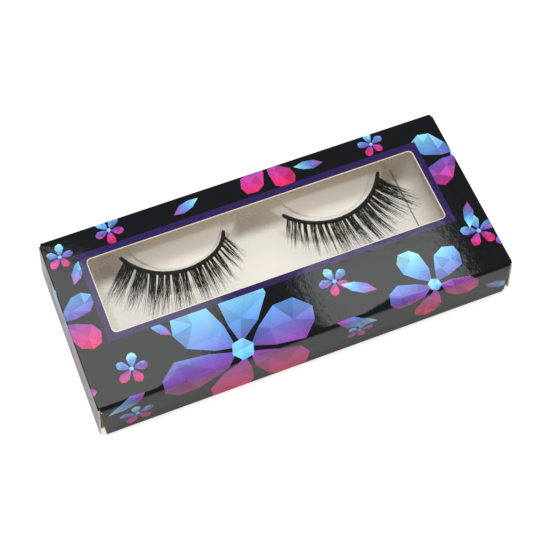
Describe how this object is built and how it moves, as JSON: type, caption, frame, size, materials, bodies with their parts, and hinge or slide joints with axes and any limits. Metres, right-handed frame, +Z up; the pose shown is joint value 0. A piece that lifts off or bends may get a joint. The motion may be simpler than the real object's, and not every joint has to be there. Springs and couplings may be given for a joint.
{
  "type": "false eyelash case",
  "caption": "Flat oblong board carton with a film window in its lid, a clear formed tray and strip lashes on half-moon platforms; both ends open on tucked flaps.",
  "frame": {"origin": "middle of the carton's underside", "axes": "+X along the case to the right, +Y to the rear (the front wall faces -Y), +Z up out of the window"},
  "size_m": [0.1124, 0.05, 0.015],
  "materials": {
    "printed_board": "black print under gloss lamination, cream inside",
    "window_film": "clear",
    "clear_tray": "clear, thermoformed",
    "tack_glue": "clear tacky",
    "lash_band": "knotted cotton, black",
    "lash_fibre": "dark tapered fibre"
  },
  "bodies": {
    "carton": {"top_panel": "printed_board", "base_panel": "printed_board", "front_wall": "printed_board", "rear_wall": "printed_board", "glue_flap": "printed_board", "window_film": "window_film"},
    "right_closure": {"right_end_panel": "printed_board", "right_tuck_tab": "printed_board"},
    "right_front_flap": {"right_front_dust_flap": "printed_board"},
    "right_rear_flap": {"right_rear_dust_flap": "printed_board"},
    "left_closure": {"left_end_panel": "printed_board", "left_tuck_tab": "printed_board"},
    "left_front_flap": {"left_front_dust_flap": "printed_board"},
    "left_rear_flap": {"left_rear_dust_flap": "printed_board"},
    "tray": {"lash_tray": "clear_tray", "left_lash_glue": "tack_glue", "right_lash_glue": "tack_glue"},
    "left_lash": {"left_lash_band": "lash_band", "left_lash_fibres": "lash_fibre"},
    "right_lash": {"right_lash_band": "lash_band", "right_lash_fibres": "lash_fibre"}
  },
  "joints": [
    {"name": "right_closure_hinge", "type": "hinge", "parent": "carton", "child": "right_closure", "pos_m": [0.0548, 0, 0.0148], "axis": [0, -1, 0], "range_deg": [0, 175]},
    {"name": "right_front_flap_hinge", "type": "hinge", "parent": "carton", "child": "right_front_flap", "pos_m": [0.05425, -0.0248, 0.0077], "axis": [0, 0, -1], "range_deg": [0, 87.5]},
    {"name": "right_rear_flap_hinge", "type": "hinge", "parent": "carton", "child": "right_rear_flap", "pos_m": [0.05425, 0.0248, 0.0077], "axis": [0, 0, 1], "range_deg": [0, 87.5]},
    {"name": "left_closure_hinge", "type": "hinge", "parent": "carton", "child": "left_closure", "pos_m": [-0.0548, 0, 0.0148], "axis": [0, 1, 0], "range_deg": [0, 175]},
    {"name": "left_front_flap_hinge", "type": "hinge", "parent": "carton", "child": "left_front_flap", "pos_m": [-0.05425, -0.0248, 0.0077], "axis": [0, 0, 1], "range_deg": [0, 87.5]},
    {"name": "left_rear_flap_hinge", "type": "hinge", "parent": "carton", "child": "left_rear_flap", "pos_m": [-0.05425, 0.0248, 0.0077], "axis": [0, 0, -1], "range_deg": [0, 87.5]},
    {"name": "tray_slide", "type": "slide", "parent": "carton", "child": "tray", "axis": [1, 0, 0], "range_m": [-0.0005, 0.0005]},
    {"name": "left_lash_lift", "type": "slide", "parent": "tray", "child": "left_lash", "axis": [0, 0, 1], "range_m": [0, 0.0035]},
    {"name": "right_lash_lift", "type": "slide", "parent": "tray", "child": "right_lash", "axis": [0, 0, 1], "range_m": [0, 0.0035]}
  ],
  "couplings": [
    {"joint": "right_front_flap_hinge", "follows": "right_closure_hinge", "ratio": 0.5},
    {"joint": "right_rear_flap_hinge", "follows": "right_closure_hinge", "ratio": 0.5},
    {"joint": "left_front_flap_hinge", "follows": "left_closure_hinge", "ratio": 0.5},
    {"joint": "left_rear_flap_hinge", "follows": "left_closure_hinge", "ratio": 0.5}
  ]
}
